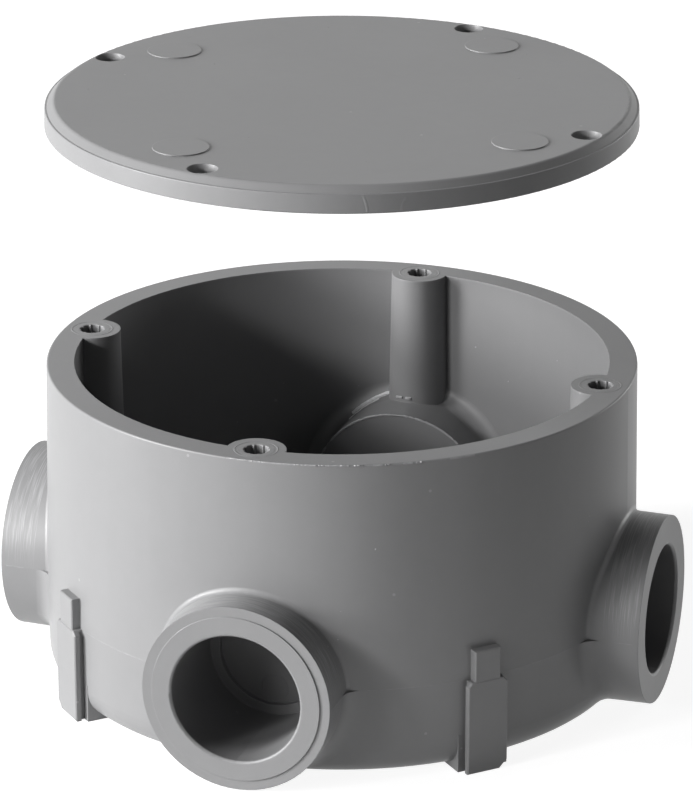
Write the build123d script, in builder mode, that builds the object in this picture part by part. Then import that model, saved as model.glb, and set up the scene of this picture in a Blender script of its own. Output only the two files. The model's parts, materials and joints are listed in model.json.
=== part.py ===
from build123d import *
import os

# Round four-way conduit body with its round lid lifted off, millimetres.
# Origin at the centre of the footprint, feet on z = 0, hubs along +-X and +-Y.

# driving dimensions of the body
rim_radius = 50.0            # outside of the wall at the open rim
overall_height = 55.5        # feet to rim
wall_thickness = 4.7
wall_draft = 0.6             # the wall is this much wider at the parting plane
rim_edge = 0.3               # outer edge of the rim, slightly rounded
floor_thickness = 4.6
foot_drop = 0.4              # floor underside stands this far above the feet
base_draft = 0.1             # below the parting plane it narrows by this
base_round = 5.0             # outer edge of the floor
inside_draft = 0.5           # the cavity narrows by this down to the floor
cavity_round = 2.6           # floor, wall and collar corners inside

# hubs, sockets and the collars behind them
hub_count = 4
conduit_diameter = 21.3      # rigid conduit that glues into the hubs
socket_clearance = 0.3       # on the radius
hub_wall = 5.1
hub_draft = 0.15
hub_ground_gap = 0.15        # hub underside above the feet plane
hub_stand = 6.7              # hub faces stand this far out of the rim
socket_depth = 19.2
stop_ledge = 1.65            # width of the ledge the conduit stops on
stop_recess = 1.1            # from the ledge down to the closing disc
disc_thickness = 3.0
upper_root = 0.9             # root rounding over the parting plane
lower_root = 3.4             # and under it
mouth_round = 0.5
face_pad_margin = 1.7        # front hub: the raised pad stops this short of the rim
face_pad_height = 0.22
pin_mark_radius = 2.3
pin_mark_drop = 6.5
pin_mark_depth = 0.15

# screw posts in the wall
screw_hole_diameter = 4.2
screw_hole_depth = 19.0
screw_mouth_diameter = 5.8
screw_mouth_angle = 120
screw_edge = 4.8             # screw axes inside the rim's outer edge
post_radius = 4.9
post_draft = 0.7

# mounting lugs between the hubs
lug_count = 4
lug_stand = 1.6              # lug face in front of the wall at the parting plane
lug_plate = 1.0
lug_width = 7.4
lug_shoulder = 0.75          # cut of the plate's upper corners
lug_corner = 1.4             # cut of its lower corner beside the left or right hub
lug_neck_inset = 0.6         # neck behind the plate is narrower each side
lug_neck_root = 1.5          # and goes this far into the wall
lug_tab_width = 4.8
lug_tab_height = 5.4
lug_tab_step = 0.15          # tab face stands behind the plate's
lug_edge = 0.2
gusset_overhang = 0.85       # gusset under the base rounding, wider than the plate each side
gusset_inset = 0.1           # its face inside the wall's foot
gusset_depth = 4.9
gusset_cover = 1.2           # its top, hidden in the wall, above the base rounding

# lid
lid_inset = 0.6              # lid edge inside the rim's outer edge
lid_height = 4.3
lid_ledge = 0.45             # small step under the bevel
lid_bevel_run = 1.15
lid_bevel_drop = 1.1
lid_round = 0.8              # soft corner between top and bevel
lid_edge = 0.15
lid_draft = 0.1
lid_seat_width = 8.8         # seat ring on the underside, wide enough for the posts
lid_pocket_depth = 1.6
lid_hole_clearance = 0.4     # on the diameter, over the screw hole
lid_hole_mouth = 5.0
lid_hole_mouth_depth = 1.0
lid_pad_radius = 4.6
lid_pad_height = 0.18
lid_pad_inset = 6.7          # pads stand this far inside the screw circle
lid_pad_turn = -12.8         # and beside the screw holes
lid_turn = -11.4             # the lifted lid is turned against the body
lid_lift = 41.9              # gap between rim and lid

# everything that follows from them
socket_radius = conduit_diameter / 2 + socket_clearance
hub_radius = socket_radius + hub_wall
hub_height = hub_radius + hub_draft + hub_ground_gap
hub_reach = rim_radius + hub_stand
parting = hub_height
parting_radius = rim_radius + wall_draft
base_radius = parting_radius - base_draft
floor_top = foot_drop + floor_thickness
cavity_radius = rim_radius - wall_thickness
cavity_floor_radius = cavity_radius - inside_draft
stop_reach = hub_reach - socket_depth
disc_reach = stop_reach - stop_recess
collar_reach = disc_reach - disc_thickness
stop_radius = socket_radius - stop_ledge
collar_radius = hub_radius + hub_draft
screw_pitch_radius = rim_radius - screw_edge
lug_face = parting_radius + lug_stand
lug_side = lug_width / 2
neck_rear = parting_radius - lug_neck_root
neck_run = lug_face - lug_plate - neck_rear
tab_run = lug_face - lug_tab_step - neck_rear
gusset_face = base_radius - gusset_inset
gusset_height = foot_drop + base_round + gusset_cover
far = 4 * overall_height

# outside of the body: wall, floor and hubs, with its own root rounding in each mould half
body_halves = []
for root_round, low, high in (
    (upper_root, parting, far),
    (lower_root, -far, parting),
):
    with BuildPart() as half:
        with BuildSketch(Plane.XZ) as outline:
            with BuildLine():
                Polyline(
                    (0, foot_drop),
                    (base_radius, foot_drop),
                    (parting_radius, parting),
                    (rim_radius, overall_height),
                    (0, overall_height),
                    close=True,
                )
            make_face()
            base_corner = outline.vertices().group_by(Axis.Y)[0].sort_by(Axis.X)[-1]
            fillet(base_corner, base_round)
            rim_corner = outline.vertices().group_by(Axis.Y)[-1].sort_by(Axis.X)[-1]
            fillet(rim_corner, rim_edge)
        revolve(axis=Axis.Z)
        hub_run = hub_reach - cavity_radius
        with Locations((0, 0, hub_height)):
            with PolarLocations(cavity_radius + hub_run / 2, hub_count):
                Cone(collar_radius, hub_radius, hub_run, rotation=(0, 90, 0))
        roots = half.edges().filter_by(
            lambda edge: edge.geom_type not in (GeomType.CIRCLE, GeomType.LINE)
        )
        fillet(roots, root_round)
        with Locations((0, 0, (low + high) / 2)):
            Box(2 * far, 2 * far, high - low, mode=Mode.INTERSECT)
    body_halves.append(half.part)

# one mounting lug: plate on a narrower neck, tab on top, wider gusset at the foot
with BuildPart() as tab:
    with Locations((neck_rear + tab_run / 2, 0, parting + lug_tab_height / 2)):
        Box(tab_run, lug_tab_width, lug_tab_height)
    tab_edges = tab.faces().sort_by(Axis.X)[-1].edges().sort_by(Axis.Z)[1:]
    chamfer(tab_edges, lug_edge)
with BuildPart() as lug:
    with BuildSketch(Plane.YZ.offset(lug_face - lug_plate)):
        with BuildLine():
            Polyline(
                (-lug_side, 0),
                (lug_side - lug_corner, 0),
                (lug_side, lug_corner),
                (lug_side, parting - lug_shoulder),
                (lug_side - lug_shoulder, parting),
                (lug_shoulder - lug_side, parting),
                (-lug_side, parting - lug_shoulder),
                close=True,
            )
        make_face()
    extrude(amount=lug_plate)
    plate_edges = lug.faces().sort_by(Axis.X)[-1].edges()
    chamfer(plate_edges, lug_edge)
    with Locations((neck_rear + neck_run / 2, 0, parting / 2)):
        Box(neck_run, lug_width - 2 * lug_neck_inset, parting)
    with Locations((gusset_face - gusset_depth / 2, 0, gusset_height / 2)):
        Box(gusset_depth, lug_width + 2 * gusset_overhang, gusset_height)
    add(tab.part)

# the cavity: inside of the wall, less the closed collars of the hubs and the screw posts
with BuildPart() as cavity:
    with BuildSketch(Plane.XZ):
        with BuildLine():
            Polyline(
                (0, floor_top),
                (cavity_floor_radius, floor_top),
                (cavity_radius, overall_height),
                (0, overall_height),
                close=True,
            )
        make_face()
    revolve(axis=Axis.Z)
    collar_run = rim_radius - collar_reach
    with Locations((0, 0, hub_height)):
        with PolarLocations(collar_reach + collar_run / 2, hub_count):
            Cylinder(collar_radius, collar_run, rotation=(0, 90, 0), mode=Mode.SUBTRACT)
    inner_corners = cavity.edges().filter_by(
        lambda edge: edge.geom_type not in (GeomType.CIRCLE, GeomType.LINE)
        or edge.center().Z < floor_top + 0.01
    )
    fillet(inner_corners, cavity_round)
    post_run = overall_height - hub_height
    with PolarLocations(screw_pitch_radius, hub_count):
        with Locations((0, 0, hub_height + post_run / 2)):
            Cone(post_radius + post_draft, post_radius, post_run, mode=Mode.SUBTRACT)

with BuildPart() as conduit_body:
    for piece in body_halves:
        add(piece)
    with PolarLocations(0, lug_count // 2, start_angle=-180 / hub_count):
        add(lug.part)
    with PolarLocations(0, lug_count // 2, start_angle=180 / hub_count):
        add(mirror(lug.part, about=Plane.XZ, mode=Mode.PRIVATE))
    add(cavity.part, mode=Mode.SUBTRACT)
    with Locations((0, 0, hub_height)):
        with PolarLocations(hub_reach - socket_depth / 2, hub_count):
            Cylinder(socket_radius, socket_depth, rotation=(0, 90, 0), mode=Mode.SUBTRACT)
        with PolarLocations(stop_reach - stop_recess / 2, hub_count):
            Cylinder(stop_radius, stop_recess, rotation=(0, 90, 0), mode=Mode.SUBTRACT)
    with Locations((0, 0, hub_height - pin_mark_drop)):
        with PolarLocations(disc_reach - pin_mark_depth / 2, hub_count):
            Cylinder(pin_mark_radius, pin_mark_depth, rotation=(0, 90, 0), mode=Mode.SUBTRACT)
    with PolarLocations(screw_pitch_radius, hub_count):
        with Locations((0, 0, overall_height)):
            CounterSinkHole(
                screw_hole_diameter / 2,
                screw_mouth_diameter / 2,
                screw_hole_depth,
                screw_mouth_angle,
            )
    mouths = conduit_body.edges().filter_by(GeomType.CIRCLE).filter_by(
        lambda edge: abs(edge.radius - socket_radius) < 0.01
        and Vector(edge.arc_center.X, edge.arc_center.Y).length > hub_reach - 0.01
    )
    fillet(mouths, mouth_round)
    # the front hub's face stands lower outside a round pad
    with BuildSketch(Plane.XZ.offset(hub_reach)):
        with Locations((0, hub_height)):
            Circle(hub_radius + face_pad_margin)
            Circle(hub_radius - face_pad_margin, mode=Mode.SUBTRACT)
    extrude(amount=-face_pad_height, mode=Mode.SUBTRACT)

# the lid, lifted off the rim
lid_base = overall_height + lid_lift
lid_top = lid_base + lid_height
lid_pocket_top = lid_base + lid_pocket_depth
lid_radius = rim_radius - lid_inset
lid_bevel_foot = lid_top - lid_bevel_drop
lid_top_radius = lid_radius - lid_ledge - lid_bevel_run
lid_pocket_radius = lid_radius - lid_seat_width
lid_pad_pitch = screw_pitch_radius - lid_pad_inset
lid_hole_radius = (screw_hole_diameter + lid_hole_clearance) / 2
with BuildPart() as lid:
    with BuildSketch(Plane.XZ) as lid_outline:
        with BuildLine():
            Polyline(
                (0, lid_pocket_top),
                (lid_pocket_radius, lid_pocket_top),
                (lid_pocket_radius, lid_base),
                (lid_radius, lid_base),
                (lid_radius - lid_draft, lid_bevel_foot),
                (lid_radius - lid_ledge, lid_bevel_foot),
                (lid_top_radius, lid_top),
                (0, lid_top),
                close=True,
            )
        make_face()
        bevel_corner = lid_outline.vertices().group_by(Axis.Y)[-1].sort_by(Axis.X)[-1]
        fillet(bevel_corner, lid_round)
        outer_corners = lid_outline.vertices().filter_by(
            lambda corner: corner.X > lid_radius - lid_ledge / 2
        )
        fillet(outer_corners, lid_edge)
    revolve(axis=Axis.Z)
    with Locations((0, 0, lid_top + lid_pad_height / 2)):
        with PolarLocations(lid_pad_pitch, hub_count, start_angle=lid_turn + lid_pad_turn):
            Cylinder(lid_pad_radius, lid_pad_height)
    with PolarLocations(screw_pitch_radius, hub_count, start_angle=lid_turn):
        with Locations((0, 0, lid_base + lid_height / 2)):
            Cylinder(lid_hole_radius, lid_height, mode=Mode.SUBTRACT)
        with Locations((0, 0, lid_top - lid_hole_mouth_depth / 2)):
            Cone(
                lid_hole_radius,
                lid_hole_mouth / 2,
                lid_hole_mouth_depth,
                mode=Mode.SUBTRACT,
            )

os.makedirs("parts", exist_ok=True)
conduit_body.part.label = "conduit_body"
export_step(conduit_body.part, "parts/conduit_body.step")
lid.part.label = "lid"
export_step(lid.part, "parts/lid.step")
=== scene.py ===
import bpy
import json
import math
import random
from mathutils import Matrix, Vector
from mathutils.bvhtree import BVHTree


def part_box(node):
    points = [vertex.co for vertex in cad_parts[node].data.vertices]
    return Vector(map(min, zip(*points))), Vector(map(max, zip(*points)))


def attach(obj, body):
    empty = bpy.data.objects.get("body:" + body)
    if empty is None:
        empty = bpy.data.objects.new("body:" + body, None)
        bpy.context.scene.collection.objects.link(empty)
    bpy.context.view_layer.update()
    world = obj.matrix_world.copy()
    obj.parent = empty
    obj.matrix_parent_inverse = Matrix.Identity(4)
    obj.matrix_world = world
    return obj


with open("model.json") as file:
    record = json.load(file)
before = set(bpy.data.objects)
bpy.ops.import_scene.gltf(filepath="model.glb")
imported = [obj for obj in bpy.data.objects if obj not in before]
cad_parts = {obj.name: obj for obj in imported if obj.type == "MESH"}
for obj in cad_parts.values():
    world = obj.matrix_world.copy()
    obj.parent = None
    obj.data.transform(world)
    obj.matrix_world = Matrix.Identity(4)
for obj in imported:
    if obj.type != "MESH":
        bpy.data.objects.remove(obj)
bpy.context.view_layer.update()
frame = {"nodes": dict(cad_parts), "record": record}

# sizes in metres, read from the frame where it holds them
mm = 0.001
mounts = {mount["name"]: mount for mount in frame["record"]["mounts"]}
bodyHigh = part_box("conduit_body")[1]
lidLow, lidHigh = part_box("lid")
rimHeight = bodyHigh.z
hubReach = bodyHigh.x
hubHeight = mounts["socket_right"]["pos_m"][2]
socketRadius = mounts["socket_right"]["dims"]["r_mm"] * mm
screwCircle = mounts["screw_posts"]["dims"]["pcd_mm"] * mm
screwRadius = mounts["screw_posts"]["dims"]["hole_r_mm"] * mm
collarRadius = hubHeight            # nearly: the closed collars end just above the level of the feet
lidRadius = (lidHigh.x - lidLow.x) / 2
facings = [math.pi / 2 * each for each in range(4)]     # hubs and posts, radians round from +X
frontHub = -90                      # degrees round from +X

print("frame loaded")


# shader maths: a socket that can be used in sums

class Sock:
    def __init__(self, tree, out=None):
        self.tree = tree
        self.out = out

    def node(self, kind, settings=None, inputs=None, out=0):
        made = self.tree.nodes.new(kind)
        for name, value in (settings or {}).items():
            if name == "stops":
                setStops(made.color_ramp, value)
            else:
                setattr(made, name, value)
        setSockets(made, inputs or {})
        return Sock(self.tree, made.outputs[out])

    def outputs(self, *names):
        # other outputs of the node that this socket is on
        return [Sock(self.tree, self.out.node.outputs[name]) for name in names]

    def maths(self, operation, first, second=0.0):
        return self.node("ShaderNodeMath", {"operation": operation}, {0: first, 1: second})

    def __add__(self, other):
        return self.maths("ADD", self, other)

    def __radd__(self, other):
        return self.maths("ADD", other, self)

    def __sub__(self, other):
        return self.maths("SUBTRACT", self, other)

    def __rsub__(self, other):
        return self.maths("SUBTRACT", other, self)

    def __mul__(self, other):
        return self.maths("MULTIPLY", self, other)

    def __rmul__(self, other):
        return self.maths("MULTIPLY", other, self)

    def __truediv__(self, other):
        return self.maths("DIVIDE", self, other)

    def __rtruediv__(self, other):
        return self.maths("DIVIDE", other, self)

    def __gt__(self, other):
        return self.maths("GREATER_THAN", self, other)

    def __lt__(self, other):
        return self.maths("LESS_THAN", self, other)

    def __abs__(self):
        return self.maths("ABSOLUTE", self)

    def ramp(self, stops):
        return self.node("ShaderNodeValToRGB", {"stops": stops}, {0: self})

    def parts(self):
        return self.node("ShaderNodeSeparateXYZ", {}, {0: self}).outputs("X", "Y", "Z")

    def vector(self, x, y, z):
        return self.node("ShaderNodeCombineXYZ", {}, {0: x, 1: y, 2: z})

    def evenGrey(self):
        # one value as a colour
        return self.node("ShaderNodeCombineColor", {}, {0: self, 1: self, 2: self})


def setStops(ramp, stops):
    # each stop is a place on the ramp and a level of grey
    while len(ramp.elements) < len(stops):
        ramp.elements.new(0.5)
    for element, (place, level) in zip(ramp.elements, stops):
        element.position = place
        element.color = (level, level, level, 1)


def setSockets(node, values):
    # a Sock is linked, anything else is set on the socket
    for name, value in values.items():
        if isinstance(value, Sock):
            value.tree.links.new(value.out, node.inputs[name])
        else:
            node.inputs[name].default_value = value


def newMaterial(name):
    material = bpy.data.materials.new(name)
    material.use_nodes = True
    tree = material.node_tree
    shader = next(node for node in tree.nodes if node.type == "BSDF_PRINCIPLED")
    return material, shader, Sock(tree).node("ShaderNodeTexCoord", out="Object")


def noise(place, scale, detail, rough):
    return place.node(
        "ShaderNodeTexNoise", {}, {"Vector": place, "Scale": scale, "Detail": detail, "Roughness": rough}
    )


def swing(source, share):
    # a noise as a change up and down from none
    return share * (source - 0.5)


# grey rigid vinyl

vinyl = {
    "grey": (0.200, 0.200, 0.203),
    # each noise: scale, detail and roughness
    "cloudNoise": (38.0, 4.0, 0.55),
    "cloudShare": 0.1,
    "fineNoise": (342.0, 3.0, 0.6),
    "fineShare": 0.05,
    "streakStretch": (420, 420, 9),     # per metre along x, y and z, so that streaks stand upright
    "streakNoise": (1.0, 2.0, 0.5),
    "streakShare": 0.035,
    "speckScale": 210.0,
    "speckSize": 0.055,
    "speckPick": 0.8,                   # cells above this hold a speck
    "speckShare": 0.35,
    "roughness": 0.43,
    "roughnessShare": 0.12,
    "grainNoise": (2600.0, 2.0, 0.5),
    "grainHeight": 0.005 * mm,
    "grainStrength": 0.6,
    "edgeRadius": 0.16 * mm,            # sharp edges are shaded as if rounded this much
    "edgeSamples": 4,
    "ior": 1.5,
}


def specks(place):
    # sparse small dots: a few of the cells hold one
    cells = place.node("ShaderNodeTexVoronoi", {}, {"Vector": place, "Scale": vinyl["speckScale"]})
    away, colour = cells.outputs("Distance", "Color")
    chance = colour.node("ShaderNodeSeparateColor", {}, {0: colour})
    return (away < vinyl["speckSize"]) * (chance > vinyl["speckPick"])


def grey(tint):
    return tint.node(
        "ShaderNodeMix",
        {"data_type": "RGBA", "blend_type": "MULTIPLY"},
        {0: 1.0, 6: (*vinyl["grey"], 1), 7: tint.evenGrey()},
        2,
    )


def hubPlace(place):
    # distance along the nearest hub's axis, across it and above it
    x, y, z = place.parts()
    x = abs(x)
    y = abs(y)
    return x.maths("MAXIMUM", x, y), x.maths("MINIMUM", x, y), z - hubHeight


# painted shade in the base colour of the cavity and the sockets
paintedShade = {
    "cavityReach": 47.5 * mm,                       # half way through the wall
    "cavityHeights": (3 * mm, rimHeight - 0.3 * mm),
    "cavityShade": 0.08,
    "socketReach": socketRadius + 0.3 * mm,
    "socketRun": (35 * mm, hubReach - 0.3 * mm),    # from within the closing disc to the hub's face
    "socketShade": 0.3,
}


def paintedRecessShade(place):
    # painted shade: the cavity and the sockets are given a darker base colour than the outside, for the
    # shade that falls in them
    x, y, z = place.parts()
    low, high = paintedShade["cavityHeights"]
    cavity = ((x * x + y * y) < paintedShade["cavityReach"] ** 2) * (z > low) * (z < high)
    along, across, up = hubPlace(place)
    start, end = paintedShade["socketRun"]
    socket = (across * across + up * up) < paintedShade["socketReach"] ** 2
    socket = socket * (along > start) * (along < end)
    return x.maths("MAXIMUM", cavity * paintedShade["cavityShade"], socket * paintedShade["socketShade"])


scratch = {
    "fromAxis": socketRadius + 2.5 * mm,            # none nearer to the axis, so none in the socket
    "run": (50.6 * mm, hubReach - 0.6 * mm),        # from beside the wall nearly to the hub's face
    "fadeHeight": 8 * mm,                           # above the hub's axis, the stops are shares of it
    "fadeStops": ((0.05, 0.0), (0.6, 1.0)),
    "stretch": (5000, 2.2),                         # per metre along the hub and per radian round it
    "lineNoise": (1.0, 2.0, 0.6),
    "lineStops": ((0.46, 0.0), (0.7, 1.0)),
    "tintShare": 0.5,
    "reliefShare": 2.5,
}


def hubScratches(place):
    # tool marks round the upper half of each hub
    along, across, up = hubPlace(place)
    start, end = scratch["run"]
    outside = (across * across + up * up) > scratch["fromAxis"] ** 2
    fade = (up / scratch["fadeHeight"]).ramp(scratch["fadeStops"])
    mask = outside * fade * (along > start) * (along < end)
    turn = place.maths("ARCTAN2", across, up)
    alongScale, turnScale = scratch["stretch"]
    lines = noise(place.vector(along * alongScale, turn * turnScale, 0.0), *scratch["lineNoise"])
    return lines.ramp(scratch["lineStops"]) * mask


def plasticMaterial(name, withHubMarksAndPaintedShade):
    material, shader, place = newMaterial(name)
    cloud = noise(place, *vinyl["cloudNoise"])
    fine = noise(place, *vinyl["fineNoise"])
    upright = place.vector(*[part * scale for part, scale in zip(place.parts(), vinyl["streakStretch"])])
    streak = noise(upright, *vinyl["streakNoise"])
    tint = 1.0 + swing(cloud, vinyl["cloudShare"]) + swing(fine, vinyl["fineShare"])
    tint = tint + swing(streak, vinyl["streakShare"]) + vinyl["speckShare"] * specks(place)
    relief = noise(place, *vinyl["grainNoise"])
    if withHubMarksAndPaintedShade:
        scratches = hubScratches(place)
        # painted shade: the base colour is darkened in the cavity and the sockets
        tint = (tint + scratch["tintShare"] * scratches) * (1 - paintedRecessShade(place))
        relief = relief + scratch["reliefShare"] * scratches
    soft = place.node(
        "ShaderNodeBevel", {"samples": vinyl["edgeSamples"]}, {"Radius": vinyl["edgeRadius"]}
    )
    bump = place.node(
        "ShaderNodeBump",
        {},
        {
            "Height": relief,
            "Distance": vinyl["grainHeight"],
            "Strength": vinyl["grainStrength"],
            "Normal": soft,
        },
    )
    setSockets(shader, {
        "Base Color": grey(tint),
        "Roughness": vinyl["roughness"] + swing(cloud, vinyl["roughnessShare"]),
        "Normal": bump,
        "IOR": vinyl["ior"],
    })
    return material


thinVinyl = {
    "speckleNoise": (900.0, 3.0, 0.6),
    "speckleShare": 0.5,
    "roughness": 0.45,
    # tint of each kind against the body's grey
    "seam": 1.08,
    "rim": 1.3,
    # paler flash, and a painted highlight where it lines the closing disc's edge
    "flash": 1.6,
    # painted highlight on the collar's flash
    "paintedHighlight": 3.6,
}


def thinMaterial(name, tint):
    # thin flash and burrs in paler plastic; the flash tint is also a painted highlight on the closing
    # disc's edge, and the palest tint is a painted highlight on the collar's flash
    material, shader, place = newMaterial(name)
    speckle = noise(place, *thinVinyl["speckleNoise"])
    setSockets(shader, {
        "Base Color": grey(tint + swing(speckle, thinVinyl["speckleShare"])),
        "Roughness": thinVinyl["roughness"],
    })
    return material


def dress(name, material):
    for slot in frame["nodes"][name].material_slots:
        slot.material = material


dress("conduit_body", plasticMaterial("bodyPlastic", True))
dress("lid", plasticMaterial("lidPlastic", False))
seamPlastic = thinMaterial("seamPlastic", thinVinyl["seam"])
rimPlastic = thinMaterial("rimPlastic", thinVinyl["rim"])
flashAndHighlightPlastic = thinMaterial("flashAndHighlightPlastic", thinVinyl["flash"])
paintedHighlightPlastic = thinMaterial("paintedHighlightPlastic", thinVinyl["paintedHighlight"])
print("plastic dressed")


# small marks of the mould, set on the solids' own surfaces

def surfaceOf(name):
    piece = frame["nodes"][name]
    world = piece.matrix_world
    points = [world @ vertex.co for vertex in piece.data.vertices]
    return BVHTree.FromPolygons(points, [tuple(face.vertices) for face in piece.data.polygons])


def onSurface(surface, guide):
    # the nearest place on the surface to each guide point, with its normal
    found = [surface.find_nearest(Vector(point)) for point in guide]
    return [(place, normal) for place, normal, face, gap in found]


def onWall(surface, height, turn, outside=52 * mm):
    # the wall's outside at one height, seen from just off it
    inward = Vector((-math.cos(turn), -math.sin(turn), 0))
    place, normal, face, gap = surface.ray_cast(-inward * outside + Vector((0, 0, height)), inward)
    return place, normal


def spot(radius, height, turn):
    return (radius * math.cos(turn), radius * math.sin(turn), height)


def evenly(start, end, step):
    # values from start to end or just short of it
    count = int(abs(end - start) / step)
    return [start + math.copysign(step, end - start) * each for each in range(count + 1)]


def around(radius, height, start, end, step=0.4 * mm):
    count = int(abs(end - start) * radius / step)
    return [spot(radius, height, start + (end - start) * each / count) for each in range(count + 1)]


def turned(points, angle):
    c = math.cos(angle)
    s = math.sin(angle)
    return [(x * c - y * s, x * s + y * c, z) for x, y, z in points]


def tubeFaces(points, sections, closed=True):
    # walls from each section of the points to the next, and both ends if it is open
    faces = []
    corners = len(points) // sections
    for index in range(sections if closed else sections - 1):
        here = corners * index
        there = corners * ((index + 1) % sections)
        for edge in range(corners):
            following = (edge + 1) % corners
            faces.append((here + edge, here + following, there + following, there + edge))
    if not closed:
        faces.append(tuple(reversed(range(corners))))
        faces.append(tuple(range(corners * (sections - 1), corners * sections)))
    return faces


def ridge(path, width, height, wobble, sink=0.01 * mm, closed=False):
    # a low bead along a path of (place, normal), as points and faces
    points = []
    count = len(path)
    for index, (place, normal) in enumerate(path):
        if closed:
            ahead = path[(index + 1) % count][0] - path[index - 1][0]
        else:
            ahead = path[min(index + 1, count - 1)][0] - path[max(index - 1, 0)][0]
        side = ahead.normalized().cross(normal).normalized() * (width / 2)
        top = place + normal * height * (1 + wobble * random.uniform(-1, 1))
        foot = place - normal * sink
        points += [foot - side, top - side / 2, top + side / 2, foot + side]
    return points, tubeFaces(points, count, closed)


def joinedPiece(name, shapes, material):
    points, faces = [], []
    for shapePoints, shapeFaces in shapes:
        start = len(points)
        points += shapePoints
        faces += [tuple(start + corner for corner in face) for face in shapeFaces]
    mesh = bpy.data.meshes.new(name)
    mesh.from_pydata(points, [], faces)
    mesh.validate()
    mesh.materials.append(material)
    piece = bpy.data.objects.new(name, mesh)
    bpy.context.scene.collection.objects.link(piece)
    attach(piece, "root")


random.seed(41)
bodySurface = surfaceOf("conduit_body")
lidSurface = surfaceOf("lid")

# parting line of the mould, round the wall and along the hubs

parting = {
    "width": 0.16 * mm,
    "height": 0.01 * mm,
    "wobble": 0.8,
    "sink": 0.003 * mm,
    "rise": 0.01 * mm,                              # above the hubs' axes
    "hubSide": 17.4 * mm,                           # guide line beside the hub
    # runs: start, end and step
    "hubRun": (hubReach - 0.9 * mm, 52.4 * mm, 0.4 * mm),
    "wallRun": (22.5, 40.2, 0.45),                  # degrees from the hub's axis
}


def seamPaths(facing, hand):
    # along one side of the hub that faces this way, and round the wall beside it
    height = hubHeight + parting["rise"]
    beside = [(x, hand * parting["hubSide"], height) for x in evenly(*parting["hubRun"])]
    turns = [facing + hand * math.radians(turn) for turn in evenly(*parting["wallRun"])]
    return [
        onSurface(bodySurface, turned(beside, facing)),
        [onWall(bodySurface, height, turn) for turn in turns],
    ]


def partingLine():
    shapes = []
    bead = [parting[key] for key in ("width", "height", "wobble", "sink")]
    for facing in facings:
        for hand in (1, -1):
            shapes += [ridge(path, *bead) for path in seamPaths(facing, hand)]
    joinedPiece("parting_line", shapes, seamPlastic)


partingLine()
print("parting line laid")

# the ribbed upper ends of the screw posts' holes

lining = {
    "ribs": 8,
    "ribTurn": 0.5,             # radians
    "ribHeight": 0.26 * mm,
    "ribShare": 0.3,            # of the way round that the ribs take
    "steps": 144,
    "depth": 6.0 * mm,
    "reach": 3.1 * mm,          # out to here the mouth is level with the rim
    "lift": 0.015 * mm,
    "soft": 0.1 * mm,
    # rounding of the mouth: out from the ribs and up, in shares of soft
    "mouth": ((0.0, -1.3), (0.3, -0.4)),
}


def ribbed(turn):
    # how far the wall stands in at this turn
    share = ((turn - lining["ribTurn"]) * lining["ribs"] / (2 * math.pi) + 0.5) % 1.0
    away = abs(share - 0.5) * 2 / lining["ribShare"]
    return lining["ribHeight"] * max(0.0, 1 - away ** 2)


def liningProfile(turn):
    # radius and rise of each corner: up the hole, out over its mouth and down at the edge
    soft = lining["soft"]
    inner = screwRadius - ribbed(turn)
    return [
        (screwRadius + soft, -lining["depth"] - soft),
        (inner, -lining["depth"]),
        *[(inner + soft * out, soft * up) for out, up in lining["mouth"]],
        (screwRadius + soft, lining["lift"]),
        (lining["reach"] - soft, lining["lift"]),
        (lining["reach"], -soft),
    ]


def postLining(centre):
    points = []
    steps = lining["steps"]
    for index in range(steps):
        turn = 2 * math.pi * index / steps
        points += [centre + Vector(spot(radius, rise, turn)) for radius, rise in liningProfile(turn)]
    return points, tubeFaces(points, steps)


postCentres = [Vector(spot(screwCircle / 2, rimHeight, facing)) for facing in facings]
joinedPiece("post_linings", [postLining(centre) for centre in postCentres], seamPlastic)
print("post holes ribbed")

# a faint ring round each post hole

ring = {
    "radius": 3.5 * mm,
    "width": 0.3 * mm,
    "height": 0.035 * mm,
    "wobble": 0.3,
}


def postRing(centre):
    circle = around(ring["radius"], 0, 0, 2 * math.pi)[:-1]
    path = [(centre + Vector(point), Vector((0, 0, 1))) for point in circle]
    return ridge(path, ring["width"], ring["height"], ring["wobble"], closed=True)


joinedPiece("post_rings", [postRing(centre) for centre in postCentres], seamPlastic)
print("rings laid round them")

# burrs left by the mould along the rim's outer edge

burrs = {
    # start and end in degrees, height in mm
    "runs": (
        (-94.0, -72.0, 0.07),
        (-77.4, -74.6, 0.16),
        (-73.6, -71.0, 0.14),
        (-70.4, -68.4, 0.2),
        (-66.5, -64.8, 0.08),
        (-64.3, -63.5, 0.28),
        (-61.0, -59.2, 0.07),
        (-58.5, -57.6, 0.3),
        (-52.0, -47.0, 0.05),
    ),
    "guide": (50.4 * mm, rimHeight + 0.1 * mm),     # radius and height, just off the edge
    "step": 0.22 * mm,
    "width": 0.3 * mm,
    "wobble": 0.6,
}


def rimFlash():
    shapes = []
    radius, height = burrs["guide"]
    for start, end, tall in burrs["runs"]:
        guide = around(radius, height, math.radians(start), math.radians(end), burrs["step"])
        path = onSurface(bodySurface, guide)
        shapes.append(ridge(path, burrs["width"], tall * mm, burrs["wobble"]))
    joinedPiece("rim_flash", shapes, rimPlastic)


rimFlash()
print("rim burred")

# flash on the closed collar behind the back hub, and on the post over it; the collar's flash is pale as a
# painted highlight

collar = {
    # start and end in degrees, reach from the body's axis at both ends, width and height in mm
    "collarLines": (
        (17.5, 43.0, 44.2, 43.35, 0.8, 0.2),
        (24.0, 46.0, 43.4, 42.6, 0.3, 0.06),
    ),
    "postLines": (
        (4.5, 9.5, 40.7, 40.7, 0.5, 0.22),
        (-0.5, 3.0, 39.95, 39.95, 0.5, 0.26),
    ),
    "guide": collarRadius + 0.7 * mm,       # radius, just off the collar
    "step": 1.2,                            # degrees
    "fewestSteps": 4,
    "wobble": 0.35,
}


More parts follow.
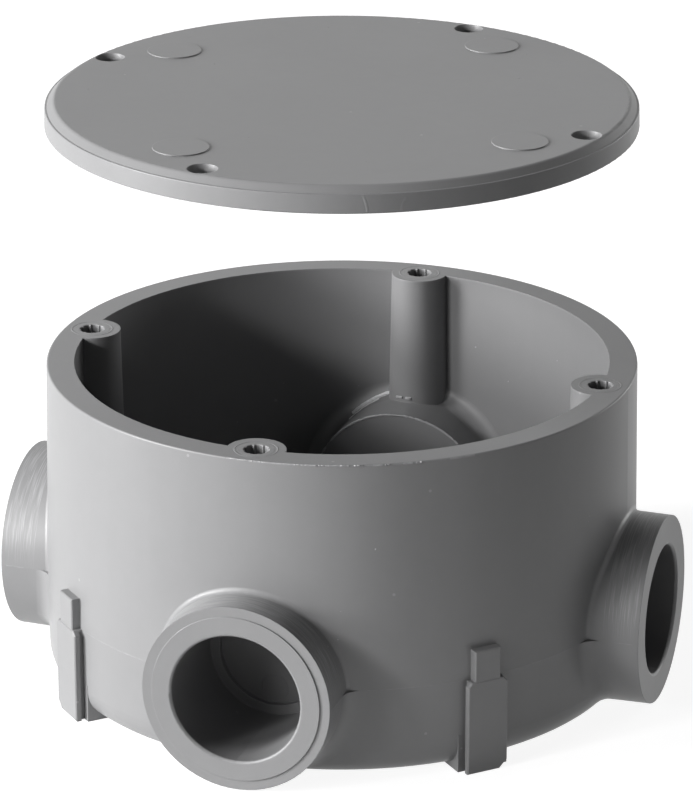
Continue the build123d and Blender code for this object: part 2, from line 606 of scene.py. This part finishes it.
def overCollar(start, end, radius, firstReach, lastReach, flat=False):
    # round the collar, turns counted to the left from its top
    # a reach is measured from the body's axis, or along the hub's own axis where flat
    guide = []
    steps = max(collar["fewestSteps"], int(abs(end - start) / collar["step"]))
    for index in range(steps + 1):
        share = index / steps
        turn = math.radians(start + (end - start) * share)
        x = -radius * math.sin(turn)
        reach = firstReach + (lastReach - firstReach) * share
        y = reach if flat else math.sqrt(reach ** 2 - x ** 2)
        guide.append((x, y, hubHeight + radius * math.cos(turn)))
    return onSurface(bodySurface, guide)


def collarFlash(name, lines, material):
    shapes = []
    for start, end, firstReach, lastReach, width, tall in lines:
        path = overCollar(start, end, collar["guide"], firstReach * mm, lastReach * mm)
        shapes.append(ridge(path, width * mm, tall * mm, collar["wobble"]))
    joinedPiece(name, shapes, material)


# painted highlight: the collar's flash is drawn in the palest plastic
collarFlash("collar_flash", collar["collarLines"], paintedHighlightPlastic)
collarFlash("post_flash", collar["postLines"], flashAndHighlightPlastic)
print("collar flash laid")

# edge of the disc that closes the back hub, a pale bead that paints its highlight

disc = {
    "turns": (-42.0, 66.0),
    "reach": 33.35 * mm,
    "width": 0.4 * mm,
    "height": 0.08 * mm,
    "wobble": 0.25,
}


def discEdge():
    start, end = disc["turns"]
    path = overCollar(start, end, collarRadius, disc["reach"], disc["reach"], flat=True)
    shape = ridge(path, disc["width"], disc["height"], disc["wobble"])
    # painted highlight: the bead's pale plastic stands in for light caught on the edge
    joinedPiece("disc_edge", [shape], flashAndHighlightPlastic)


discEdge()
print("disc edged")

# pips in the surface: a few where the photograph shows them, the others strewn

pips = {
    # turn in degrees, height and radius in mm
    "onWall": (
        (-83.5, 25.9, 0.2),
        (-80.0, 26.0, 0.16),
        (-75.2, 24.6, 0.2),
        (-73.0, 25.4, 0.14),
        (-66.0, 41.0, 0.16),
    ),
    "wallGuide": 52 * mm,
    "onBody": 46,
    "bodyReach": (38, 53),              # mm
    "bodyHeight": (6, 54),              # mm
    "onLid": 14,
    "lidReach": 46 * mm,
    "lidGuide": lidHigh.z + 1 * mm,
    "turns": (-3.1, 3.1),               # radians
    "radius": (0.07, 0.17),             # mm
    "flatness": 0.45,                   # height as a share of the radius
    # each ring of the dome: share of the radius, share of the height
    "rings": ((1.0, -0.2), (0.8, 0.45), (0.4, 0.85)),
    "foot": 0.3,                        # depth of the lowest point as a share of the radius
    "steps": 8,
}


def pip(surface, near, radius):
    # a low dome, sunk a little
    place, normal = onSurface(surface, [near])[0]
    side = normal.orthogonal().normalized()
    other = normal.cross(side)
    up = normal * radius * pips["flatness"]
    steps = pips["steps"]
    points = []
    for share, lift in pips["rings"]:
        for index in range(steps):
            turn = 2 * math.pi * index / steps
            spread = side * math.cos(turn) + other * math.sin(turn)
            points.append(place + spread * radius * share + up * lift)
    points.append(place + up)
    points.append(place - normal * radius * pips["foot"])
    faces = []
    for index in range(steps):
        following = (index + 1) % steps
        for low in (0, steps):
            faces.append((low + index, low + following, low + steps + following, low + steps + index))
        faces.append((2 * steps + index, 2 * steps + following, 3 * steps))
        faces.append((following, index, 3 * steps + 1))
    return points, faces


def strewnPip(surface, radius, height):
    near = spot(radius, height, random.uniform(*pips["turns"]))
    return pip(surface, near, random.uniform(*pips["radius"]) * mm)


def bodyPips():
    shapes = []
    for turn, height, radius in pips["onWall"]:
        near = spot(pips["wallGuide"], height * mm, math.radians(turn))
        shapes.append(pip(bodySurface, near, radius * mm))
    for each in range(pips["onBody"]):
        reach = random.uniform(*pips["bodyReach"]) * mm
        height = random.uniform(*pips["bodyHeight"]) * mm
        shapes.append(strewnPip(bodySurface, reach, height))
    joinedPiece("body_pips", shapes, flashAndHighlightPlastic)


def lidPips():
    shapes = []
    for each in range(pips["onLid"]):
        reach = pips["lidReach"] * math.sqrt(random.random())       # as many per area all over
        shapes.append(strewnPip(lidSurface, reach, pips["lidGuide"]))
    joinedPiece("lid_pips", shapes, seamPlastic)


bodyPips()
lidPips()
print("pips set")

# gate marks on the lid's edge, seen at the front

gate = {
    # turn and lean in degrees, top and height in mm
    "marks": (
        (-67.6, 0.9, 3.1, 0.02),
        (-61.4, -0.9, 2.4, 0.012),
    ),
    "guide": lidRadius + 0.3 * mm,
    "foot": 0.3 * mm,               # where a mark starts above the lid's underside
    "width": 0.5 * mm,
    "wobble": 0.2,
    "steps": 8,
}


def lidGate():
    shapes = []
    for turn, lean, top, tall in gate["marks"]:
        guide = []
        for index in range(gate["steps"] + 1):
            share = index / gate["steps"]
            height = lidLow.z + gate["foot"] + (top * mm - gate["foot"]) * share
            guide.append(spot(gate["guide"], height, math.radians(turn - lean * share ** 2)))
        shapes.append(ridge(onSurface(lidSurface, guide), gate["width"], tall * mm, gate["wobble"]))
    joinedPiece("lid_gate_marks", shapes, seamPlastic)


lidGate()
print("lid marked")


# camera, as the photograph was taken

view = {
    "turn": 17.77,              # degrees round from the front hub
    "distance": 0.728625,       # from the body's axis
    "height": 0.324805,
    "pitch": 20.83,             # degrees down
    "aim": 0.06,                # degrees to the right of the axis
    "lens": 206.3,
    "sensor": 36.0,
    "clipStart": 0.01,
}


def placeCamera():
    camera = bpy.data.objects.new("camera", bpy.data.cameras.new("camera"))
    bpy.context.scene.collection.objects.link(camera)
    camera.location = spot(view["distance"], view["height"], math.radians(frontHub + view["turn"]))
    camera.rotation_euler = (math.radians(90 - view["pitch"]), 0, math.radians(view["turn"] - view["aim"]))
    camera.data.lens = view["lens"]
    camera.data.sensor_width = view["sensor"]
    camera.data.clip_start = view["clipStart"]
    bpy.context.scene.camera = camera


placeCamera()
print("camera placed")


# studio: white paper, a tall soft key from the left and weak light from behind on the right

studio = {
    "floorSize": 6.0,
    "floorSeen": 0.90,          # paper brightness to the camera before any light
    "floorTaken": 0.35,         # and what it takes from the lamps, so that a shadow stays
    "floorRoughness": 0.95,
    "sheetRadius": 0.19,        # as it lights the object, the floor is a pale sheet on a dim table
    "sheetGrey": 0.78,
    "tableGrey": 0.12,
    "lampDistance": 1.1,
    "lampAim": 0.05,            # height that the lamps point at
    # name: turn from the camera's side and rise in degrees, size, power
    "lamps": {
        "keyLow": (-78.0, 10.0, 0.3, 14.4),
        "keyHigh": (-78.0, 32.0, 0.3, 7.8),
        "keyFront": (-48.0, 14.0, 0.3, 3.2),
        "keyNarrow": (-56.0, 20.0, 0.15, 4.3),
        "edge": (130.0, 9.0, 0.4, 2.9),
    },
}


def placeLamp(name, turn, rise, size, power):
    lamp = bpy.data.objects.new(name, bpy.data.lights.new(name, "AREA"))
    bpy.context.scene.collection.objects.link(lamp)
    up = math.radians(rise)
    away = Vector(spot(math.cos(up), math.sin(up), math.radians(frontHub + view["turn"] + turn)))
    lamp.location = Vector((0, 0, studio["lampAim"])) + away * studio["lampDistance"]
    lamp.rotation_euler = away.to_track_quat("Z", "Y").to_euler()
    lamp.data.shape = "DISK"
    lamp.data.size = size
    lamp.data.energy = power


def seenRays(tree):
    # 1 where the camera, a reflection or a clear piece looks at the white studio
    path = Sock(tree).node("ShaderNodeLightPath")
    camera, glossy, through = path.outputs("Is Camera Ray", "Is Glossy Ray", "Is Transmission Ray")
    return path.maths("MINIMUM", camera + glossy + through, 1.0)


def paperMaterial():
    # bright paper where it is seen, and a sheet on a table for the light that it throws back
    material, shader, place = newMaterial("paper")
    matt = {"Roughness": studio["floorRoughness"], "Specular IOR Level": 0.0}
    setSockets(shader, {
        **matt,
        "Base Color": (studio["floorTaken"],) * 3 + (1,),
        "Emission Color": (1, 1, 1, 1),
        "Emission Strength": studio["floorSeen"],
    })
    away = place.node("ShaderNodeVectorMath", {"operation": "LENGTH"}, {0: place}, "Value")
    sheet = (away < studio["sheetRadius"]) * (studio["sheetGrey"] - studio["tableGrey"])
    ground = (sheet + studio["tableGrey"]).evenGrey()
    plain = place.node("ShaderNodeBsdfPrincipled", {}, {**matt, "Base Color": ground})
    paper = Sock(place.tree, shader.outputs[0])
    mixed = place.node("ShaderNodeMixShader", {}, {0: seenRays(place.tree), 1: plain, 2: paper})
    output = next(node for node in place.tree.nodes if node.type == "OUTPUT_MATERIAL")
    setSockets(output, {"Surface": mixed})
    return material


def placeFloor():
    mesh = bpy.data.meshes.new("floor")
    half = studio["floorSize"] / 2
    corners = [(-half, -half, 0), (half, -half, 0), (half, half, 0), (-half, half, 0)]
    mesh.from_pydata(corners, [], [(0, 1, 2, 3)])
    mesh.materials.append(paperMaterial())
    floor = bpy.data.objects.new("floor", mesh)
    bpy.context.scene.collection.objects.link(floor)


def lightWorld():
    world = bpy.data.worlds.new("studio")
    world.use_nodes = True
    tree = world.node_tree
    back = next(node for node in tree.nodes if node.type == "BACKGROUND")
    setSockets(back, {"Color": (1, 1, 1, 1), "Strength": seenRays(tree)})
    bpy.context.scene.world = world


placeFloor()
lightWorld()
for lampName, lampSetting in studio["lamps"].items():
    placeLamp(lampName, *lampSetting)
bpy.context.scene.view_settings.view_transform = "Standard"
print("studio lit")
